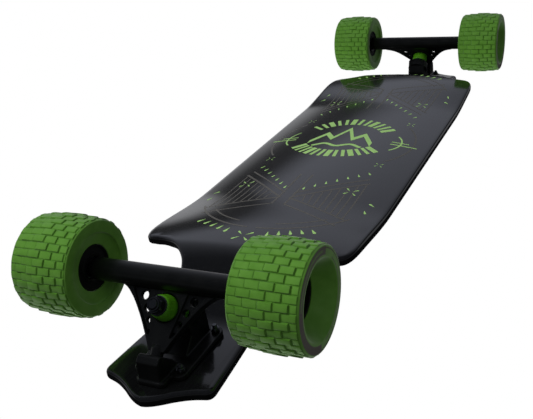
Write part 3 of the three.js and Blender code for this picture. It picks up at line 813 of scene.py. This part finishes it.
def baseplate_body(screws):
    """The foot, the slanted kingpin housing and the block that holds the pivot cup."""
    body = blank(prism(rounded_plate(-31.5, 48, 27, 7), BASE_TOP, BASE_BOTTOM - 0.3))
    seat = -22.3
    king = KINGPIN_FROM_AXLE
    housing = [(-25.5, BASE_BOTTOM - 1), (-24, BASE_TOP - 22), on_truck(king - 17, seat - 5),
               on_truck(king - 13, seat), on_truck(king + 14, seat),
               on_truck(king + 19, seat - 7), (24, BASE_BOTTOM - 1)]
    combine(body, side_block(housing, 14), "UNION")
    combine(body, blank(rod(17, seat - 12, seat, 48), KINGPIN_FRAME), "UNION")
    mouth = 69.5
    block = [(28, BASE_BOTTOM - 1), on_truck(mouth + 0.3, -11.5), on_truck(mouth, -9.5),
             on_truck(mouth, 10), on_truck(mouth + 2.5, 12.5), (58.5, BASE_TOP - 18),
             (60, BASE_BOTTOM - 1)]
    combine(body, side_block(block, 11.5), "UNION")
    foot = prism(rounded_plate(28, 61.5, 15, 5), BASE_TOP, BASE_BOTTOM - 0.3)
    combine(body, blank(foot), "UNION")
    combine(body, blank(rod(KINGPIN_HOLE, -40, 0), KINGPIN_FRAME), "DIFFERENCE")
    combine(body, blank(rod(8.5, mouth - 12, mouth + 13.3), PLATE_FRAME), "DIFFERENCE")
    for x, y in screws:
        hole = rod(SCREW_HOLE_RADIUS, -20, 20, 20)
        at_screw = Matrix.Translation((x, y, BASE_BOTTOM)) @ UPRIGHT
        combine(body, blank(hole, at_screw), "DIFFERENCE")
    return cast(body, 0.7, 4)


# ------------------------------------------------------------------ small turned pieces
def nut(across_flats, height, hole, collar=0.0):
    """A hexagonal nut about Y with dressed corners, and a round collar if it is a locking nut."""
    apothem = across_flats / 2
    corner = apothem / math.cos(math.pi / 6)
    body = height - collar
    profile = [(hole, 0), (apothem - 0.3, 0), (corner, 0.9), (corner, body - 0.9), (apothem, body)]
    if collar:
        profile += [(apothem - 0.8, body), (apothem - 1.2, height - 0.6),
                    (apothem - 2, height), (hole + 0.8, height)]
    profile += [(hole, height - 0.4)]
    bm = lathe(profile, 72, closed=True)
    for vert in bm.verts:
        reach = math.hypot(vert.co.x, vert.co.z)
        turn = math.atan2(vert.co.x, vert.co.z) % (math.pi / 3) - math.pi / 6
        limit = apothem / math.cos(turn)
        if reach > limit:
            vert.co.x *= limit / reach
            vert.co.z *= limit / reach
    return bm


def threaded(radius, low, high, pitch, tip):
    """The profile of a rod whose end is cut with a thread, drawn as rings one pitch apart."""
    points = []
    turns = int((high - low) / pitch)
    for i in range(turns):
        base = low + i * pitch
        points += [(radius - 0.25, base), (radius, base + pitch / 2)]
    return points + [(radius - 0.25, high - tip), (radius - tip, high), (0, high)]


def barrel_bushing(low, high):
    """Parallel at both seats, with soft lips and a slightly swollen waist."""
    middle = (low + high) / 2
    return lathe([(KINGPIN_HOLE, low), (10.6, low), (11.8, low + 0.5), (12.3, low + 1.4),
                  (12.6, middle - 1.5), (12.6, middle + 1.5), (12.3, high - 1.4),
                  (11.8, high - 0.5), (10.6, high), (KINGPIN_HOLE, high)], 64, closed=True)


def cone_bushing(low, high):
    """A short parallel foot in the seat, then a taper with a round shoulder."""
    return lathe([(KINGPIN_HOLE, low), (11.5, low), (12.1, low + 0.4), (12.3, low + 1.2),
                  (12.25, low + 4.2), (12.0, low + 5.2), (11.4, low + 7.4), (10.9, high - 2.9),
                  (10.5, high - 1.6), (10.0, high - 0.6), (9.3, high), (KINGPIN_HOLE, high)],
                 64, closed=True)


def flat_washer(low, high):
    return lathe([(KINGPIN_HOLE, low), (9.0, low), (9.3, low + 0.3), (9.3, high - 0.4),
                  (8.9, high), (KINGPIN_HOLE, high)], 64, closed=True)


def cup_washer(low, high):
    """A dished washer: the rim turns over the barrel."""
    return lathe([(KINGPIN_HOLE, high), (KINGPIN_HOLE, low), (11.9, low), (13.0, low + 0.3),
                  (13.5, low + 0.9), (13.5, high + 0.9), (13.2, high + 0.9), (12.6, high)],
                 64, closed=True)


def screw():
    """A countersunk socket screw about Y, its head's top at 0."""
    profile = [(0, -24), (2.0, -24)] + threaded(2.4, -23.6, -12, 0.8, 0.3)[:-2]
    profile += [(2.4, -3.2), (4.6, -0.5), (4.6, -0.15), (4.3, 0), (1.75, 0), (1.7, -2), (0, -2.2)]
    return lathe(profile, 36)


def mount_piece(bm, name, matrix, materials, body, nodes, sharp=38):
    """Puts a finished shape where it belongs, in place of its CAD nodes."""
    bm.transform(matrix)
    piece = make_piece(name, bm, materials, sharp)
    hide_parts(*nodes)
    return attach(piece, body)


def make_trucks():
    screws = []
    for number in range(1, 5):
        low, high = box_mm(f"front_mounting_screw_{number}")
        centre = (low + high) / 2
        screws.append((centre.x - axle_centre("front").x, centre.y))
    hanger = hanger_body().data
    baseplate = baseplate_body(screws).data
    for end in ENDS:
        home = truck_frame(end)
        king = home @ KINGPIN_FRAME
        swing = f"{end}_axle_assembly"
        mount_piece(copy_mesh(hanger), f"{end}_hanger_cast", home @ PLATE_FRAME, [POWDER],
                    swing, [f"{end}_hanger"], 60)
        mount_piece(copy_mesh(baseplate), f"{end}_baseplate_cast", home, [POWDER],
                    "board", [f"{end}_baseplate"], 60)
        cup = lathe([(6.3, 69.8), (8.1, 69.5), (8.2, 70), (8.2, 82), (7.6, 82.4), (0, 82.5),
                     (0, 80.2), (4.9, 78), (6.3, 75)], 48, closed=True)
        mount_piece(cup, f"{end}_pivot_cup_nylon", home @ PLATE_FRAME, [NYLON],
                    "board", [f"{end}_pivot_cup"])
        make_axle(end, home)
        make_kingpin(end, king)
        make_bushings(end, king)
        for number, (x, y) in enumerate(screws, 1):
            top = Matrix.Translation((x, y, DECK_HIGH.z - axle_centre(end).z)) @ UPRIGHT
            mount_piece(screw(), f"{end}_deck_screw_{number}", home @ top, [BLACK_STEEL],
                        "board", [f"{end}_mounting_screw_{number}"])
            under = (Matrix.Translation((x, y, BASE_TOP - 0.3))
                     @ Matrix.Rotation(-math.pi / 2, 4, "X"))
            locknut = nut(8, 5, SCREW_HOLE_RADIUS, 1.6)
            mount_piece(locknut, f"{end}_deck_locknut_{number}", home @ under, [BLACK_STEEL],
                        "board", [f"{end}_locknut_{number}"])


def make_axle(end, home):
    half = box_mm(f"{end}_axle")[1].y
    thread = threaded(4, half - 14, half, 1.25, 0.7)
    profile = [(radius, -height) for radius, height in reversed(thread)] + thread
    mount_piece(lathe(profile, 40), f"{end}_axle_rod", home, [BRIGHT_STEEL],
                f"{end}_axle_assembly", [f"{end}_axle"])


def make_kingpin(end, king):
    """The bolt, its locking nut and the two washers: all black oxide steel on the board."""
    bolt = lathe([(0, -36.3), (7.4, -36.3), (7.9, -35.8), (7.9, -30.3), (KINGPIN_RADIUS, -30.3)]
                 + threaded(KINGPIN_RADIUS, 15, 24.5, 1.2, 0.8), 48)
    on_nut = king @ Matrix.Translation((0, KINGPIN_NUT_SEAT, 0))
    for bm, made, matrix, node in (
            (bolt, "kingpin_bolt", king, "kingpin"),
            (nut(14.3, 7, KINGPIN_HOLE, 2.2), "kingpin_locknut", on_nut, "kingpin_nut"),
            (flat_washer(*ROAD_WASHER), "roadside_flat_washer", king, "roadside_washer"),
            (cup_washer(*BOARD_WASHER), "boardside_cup_washer", king, "boardside_washer")):
        mount_piece(bm, f"{end}_{made}", matrix, [BLACK_STEEL], "board",
                    [f"{end}_{node}"])


def make_bushings(end, king):
    """Each bushing sits in the hanger's seat at one end and against its washer at the other."""
    for where, bm, (seat, cap) in (("roadside", cone_bushing(*ROAD_BUSHING), ROAD_BUSHING),
                                   ("boardside", barrel_bushing(*BOARD_BUSHING),
                                    BOARD_BUSHING[::-1])):
        bm.transform(king)
        piece = make_piece(f"{end}_{where}_bushing_cast", bm, [BUSHING], 60)
        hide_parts(f"{end}_{where}_bushing")
        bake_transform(piece)


# ------------------------------------------------------------------ wheels
WHEEL_WIDTH = 65
ROWS = 40
CELLS = (1.3, 3.4, 10.1, 16.8, 23.5, 30.15, 36.85, 43.6, 50.3, 57.0, 63.7)
# Bricks of the two kinds of row: first and last cell, and the radius of the brick's top.
BRICKS = (
    ((0, 1, 47.7), (2, 3, 48.9), (4, 5, 50.0), (6, 7, 48.9), (8, 9, 47.7)),
    ((0, 0, 46.9), (1, 2, 47.9), (3, 4, 49.0), (5, 6, 50.0), (7, 8, 48.9), (9, 9, 47.3)),
)
GROOVE = 0.8
BRICK_EDGE = 0.45
# The tread's floor between the bricks, at each cell edge.
FLOOR = (46.4, 46.8, 47.5, 47.7, 48.6, 48.8, 48.8, 48.6, 47.5, 47.1, 46.4)
# The rings that the outer face's print is made of.
PRINT_RADII = (38.0, 38.9, 40.5, 41.1, 41.6, 42.2, 43.2, 44.2, 45.0)


def tyre_profile():
    bore, start, finish = 22.9, 5, 46.8
    points = [(bore, start), (26, start - 0.4), (32.2, 3.2), (33.6, 2.7), (34.5, 1.6),
              (34.8, 0.3), (35.6, 0), (40, 0), (44.6, 0), (45.8, 0.3)]
    points += list(zip(FLOOR, CELLS))
    outer = WHEEL_WIDTH
    points += [(45.8, outer - 0.3)] + [(radius, outer) for radius in PRINT_RADII[::-1]]
    points += [(36.6, outer), (35.8, outer - 0.3), (35.2, outer - 1.1), (31.2, outer - 6.4),
               (27.0, outer - 12.4), (23.6, outer - 17.4), (bore, finish)]
    return points


def is_printed(reach, turn):
    """The wide band fills a little over half of the face; thin rings go round the rest."""
    wide = 155 < turn < 345
    ring = sum(reach > radius for radius in PRINT_RADII)
    if not 0 < ring < len(PRINT_RADII):
        return False
    if wide:
        return not (ring in (3, 5) and 160 < turn < 250)
    return ring in (1, 7) if turn < 130 else ring == 7


def tyre_mesh():
    """A barrel with rows of bricks, each row half a brick out of step with the next."""
    bm = lathe(tyre_profile(), 2 * ROWS, closed=True)
    step = math.pi / ROWS
    grid = {}
    for face in bm.faces:
        centre = face.calc_center_median()
        reach = math.hypot(centre.x, centre.z)
        turn = math.atan2(centre.x, centre.z) % (2 * math.pi)
        if reach > 44 and CELLS[0] < centre.y < CELLS[-1]:
            cell = sum(centre.y > edge for edge in CELLS) - 1
            grid[cell, int(turn / step)] = face
        elif centre.y > WHEEL_WIDTH - 0.1 and is_printed(reach, math.degrees(turn)):
            face.material_index = 1
    tops = set()
    for row in range(ROWS):
        for first, last, radius in BRICKS[row % 2]:
            faces = [grid[cell, 2 * row + half]
                     for cell in range(first, last + 1) for half in (0, 1)]
            sides = bmesh.ops.inset_region(bm, faces=faces, thickness=GROOVE, depth=1.0,
                                           use_even_offset=True, use_boundary=True)
            # The sides of each brick take the darker green: painted shade.
            for face in sides["faces"]:
                face.material_index = 2
            for vert in {vert for face in faces for vert in face.verts}:
                scale = radius / math.hypot(vert.co.x, vert.co.z)
                vert.co.x *= scale
                vert.co.z *= scale
            tops.update(faces)
    rims = [e for e in bm.edges if sum(face in tops for face in e.link_faces) == 1]
    bmesh.ops.bevel(bm, geom=rims, offset=BRICK_EDGE, segments=2, profile=0.5, affect="EDGES",
                    material=-1, clamp_overlap=True)
    bmesh.ops.recalc_face_normals(bm, faces=bm.faces)
    return to_mesh(bm, "tyre")


def core_mesh():
    """Moulded core: a stepped boss on the inner face and a deep recess in the outer end."""
    seat = 11.3
    bm = lathe([(seat, 6), (12.4, 5.4), (14.5, 5.4), (15, 6.6), (20.4, 6.6), (20.9, 5.2),
                (22.1, 5.2), (22.6, 6), (22.6, 46), (22.2, 46.5), (20.7, 46.5), (20.3, 46),
                (20, 36), (19.2, 35), (15, 35), (14.5, 35.6), (12.2, 35.6), (seat, 35),
                (seat, 26.4), (9, 26.4), (9, 17), (seat, 17)], 64, closed=True)
    return to_mesh(bm, "core")


def bearing_mesh():
    """Two races with a shield set back between them on each face."""
    bore, width = AXLE_HOLE, 7.0
    bm = lathe([(bore, 0.3), (bore + 0.3, 0), (6.1, 0), (6.2, 0.5), (9.2, 0.5), (9.3, 0),
                (10.7, 0), (11, 0.3), (11, width - 0.3), (10.7, width), (9.3, width),
                (9.2, width - 0.5), (6.2, width - 0.5), (6.1, width), (bore + 0.3, width),
                (bore, width - 0.3)], 48, closed=True)
    for face in bm.faces:
        centre = face.calc_center_median()
        if 6.2 < math.hypot(centre.x, centre.z) < 9.2 and face.calc_area() > 0.05:
            face.material_index = 1
    return to_mesh(bm, "bearing")


PRINT_TURNS = (27, 0, 153, 72)  # how far each wheel has rolled, in degrees
# Distances from the wheel's inner face.
BEARING_STARTS = (("inner", 9.7), ("outer", 26.7))
SPEED_RING_STARTS = (("inner", 8.6), ("outer", 33.85))
SPEED_RING_WIDTH = 0.95
AXLE_NUT_SEAT = 35.0


def make_wheels():
    tyre, core, bearing = tyre_mesh(), core_mesh(), bearing_mesh()
    corners = [(end, side) for end in ENDS for side in SIDES]
    for (end, side), print_turn in zip(corners, PRINT_TURNS):
        wheel = f"{end}_{side}"
        body = f"{wheel}_wheel"
        swing = f"{end}_axle_assembly"
        low, high = box_mm(f"{wheel}_tyre")
        inner_face = low.y if side == "left" else high.y
        centre = (low + high) / 2
        home = Matrix.Translation((centre.x, inner_face, centre.z))
        if side == "right":
            home = home @ Matrix.Rotation(math.pi, 4, "Z")
        twist = Matrix.Rotation(math.radians(print_turn), 4, "Y")
        mount_piece(copy_mesh(tyre), f"{wheel}_block_tyre", home @ twist,
                    [TREAD, TYRE_INK, TREAD_PAINTED_SIDE_SHADE], body, [f"{wheel}_tyre"], 34)
        mount_piece(copy_mesh(core), f"{wheel}_nylon_core", home, [NYLON], body,
                    [f"{wheel}_core"], 34)
        for which, start in BEARING_STARTS:
            mount_piece(copy_mesh(bearing), f"{wheel}_{which}_race",
                        home @ Matrix.Translation((0, start, 0)), [BRIGHT_STEEL, NYLON],
                        body, [f"{wheel}_{which}_bearing"], 34)
        on_nut = home @ Matrix.Translation((0, AXLE_NUT_SEAT, 0))
        mount_piece(nut(13, 6.5, AXLE_HOLE, 1.8), f"{wheel}_axle_locknut", on_nut,
                    [BRIGHT_STEEL], swing, [f"{wheel}_axle_nut"])
        for which, start in SPEED_RING_STARTS:
            stop = start + SPEED_RING_WIDTH
            ring = lathe([(AXLE_HOLE, start), (6, start), (6, stop), (AXLE_HOLE, stop)], 40,
                         closed=True)
            ring.transform(home)
            piece = make_piece(f"{wheel}_{which}_speed_ring", ring, [BRIGHT_STEEL])
            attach(piece, swing)


# ------------------------------------------------------------------ floor
FLOOR_GAP = 0.0005


def make_floor():
    """A pale floor that shows only from above, so that the underside is lit and seen from below."""
    material, tree, output, spot = new_material("pale_floor")
    shade = noise(tree, spot, 400.0, 2.0).outputs["Fac"]
    base = ramp(tree, shade, 0.3, 0.7, "#f1f1f0", "#f5f5f4")
    top = add_node(tree, "ShaderNodeBsdfDiffuse", {"Color": base})
    clear = add_node(tree, "ShaderNodeBsdfTransparent", {})
    behind = add_node(tree, "ShaderNodeNewGeometry", {}).outputs["Backfacing"]
    mix = add_node(tree, "ShaderNodeMixShader", {"Fac": behind})
    tree.links.new(top.outputs["BSDF"], mix.inputs[1])
    tree.links.new(clear.outputs["BSDF"], mix.inputs[2])
    tree.links.new(mix.outputs["Shader"], output.inputs["Surface"])
    bm = bmesh.new()
    bmesh.ops.create_grid(bm, x_segments=4, y_segments=4, size=12)
    mesh = to_mesh(bm, "floor")
    mesh.materials.append(material)
    floor = bpy.data.objects.new("floor", mesh)
    floor.location.z = -FLOOR_GAP
    bpy.context.scene.collection.objects.link(floor)
    floor.visible_shadow = False
    floor.visible_glossy = False
    floor.visible_diffuse = False


SWEEP_SIDE = (-0.8, 0.6, 0.0)  # the side of the room where the pale sweep stands
# Higher bands of the room that the gloss reflects, from straight down at 0 to straight up at 1.
ROOM_BANDS = ((0.395, "#4c4c4c"), (0.435, "#ffffff"), (0.53, "#ffffff"), (0.6, "#2c2c2c"))
AMBIENT_STRENGTH = 0.10


def make_surroundings():
    """A white backdrop. The gloss reflects a room of its own, a pale sweep behind dark bands."""
    world = bpy.data.worlds.new("studio")
    bpy.context.scene.world = world
    world.use_nodes = True
    tree = world.node_tree
    tree.nodes.clear()
    way = add_node(tree, "ShaderNodeTexCoord", {}).outputs["Generated"]
    aside = add_node(tree, "ShaderNodeVectorMath", {0: way, 1: SWEEP_SIDE},
                     operation="DOT_PRODUCT")
    sweep = ramp(tree, aside.outputs["Value"], 0.2, 0.93, "#56585c", "#cdced2")
    height = add_node(tree, "ShaderNodeSeparateXYZ", {"Vector": way}).outputs["Z"]
    level = add_node(tree, "ShaderNodeMath", {0: height, 1: 0.5, 2: 0.5},
                     operation="MULTIPLY_ADD").outputs["Value"]
    bands = ramp(tree, level, 0.32, 0.355, "#d6d9e4", "#4c4c4c")
    for stop, shade in ROOM_BANDS:
        bands.node.color_ramp.elements.new(stop).color = colour(shade)
    room = add_node(tree, "ShaderNodeMix", {6: sweep, 7: bands}, data_type="RGBA",
                    blend_type="MULTIPLY")
    room.inputs[0].default_value = 1.0
    gloss = add_node(tree, "ShaderNodeBackground", {"Color": room.outputs[2], "Strength": 1.0})
    soft = add_node(tree, "ShaderNodeBackground", {
        "Color": (1, 1, 1, 1), "Strength": AMBIENT_STRENGTH})
    seen = add_node(tree, "ShaderNodeBackground", {"Color": (1, 1, 1, 1), "Strength": 1.0})
    path = add_node(tree, "ShaderNodeLightPath", {})
    inner = add_node(tree, "ShaderNodeMixShader", {"Fac": path.outputs["Is Glossy Ray"]})
    tree.links.new(soft.outputs["Background"], inner.inputs[1])
    tree.links.new(gloss.outputs["Background"], inner.inputs[2])
    mix = add_node(tree, "ShaderNodeMixShader", {"Fac": path.outputs["Is Camera Ray"]})
    tree.links.new(inner.outputs["Shader"], mix.inputs[1])
    tree.links.new(seen.outputs["Background"], mix.inputs[2])
    output = add_node(tree, "ShaderNodeOutputWorld", {})
    tree.links.new(mix.outputs["Shader"], output.inputs["Surface"])
    for light in LIGHTS:
        soft_light(*light)
    bpy.context.scene.view_settings.view_transform = "Standard"


make_camera()
make_surroundings()
make_floor()
make_deck()
make_grip()
make_print()
make_trucks()
make_wheels()
for leftover in [o for o in bpy.data.objects if o.name.startswith("blank")]:
    bpy.data.objects.remove(leftover)
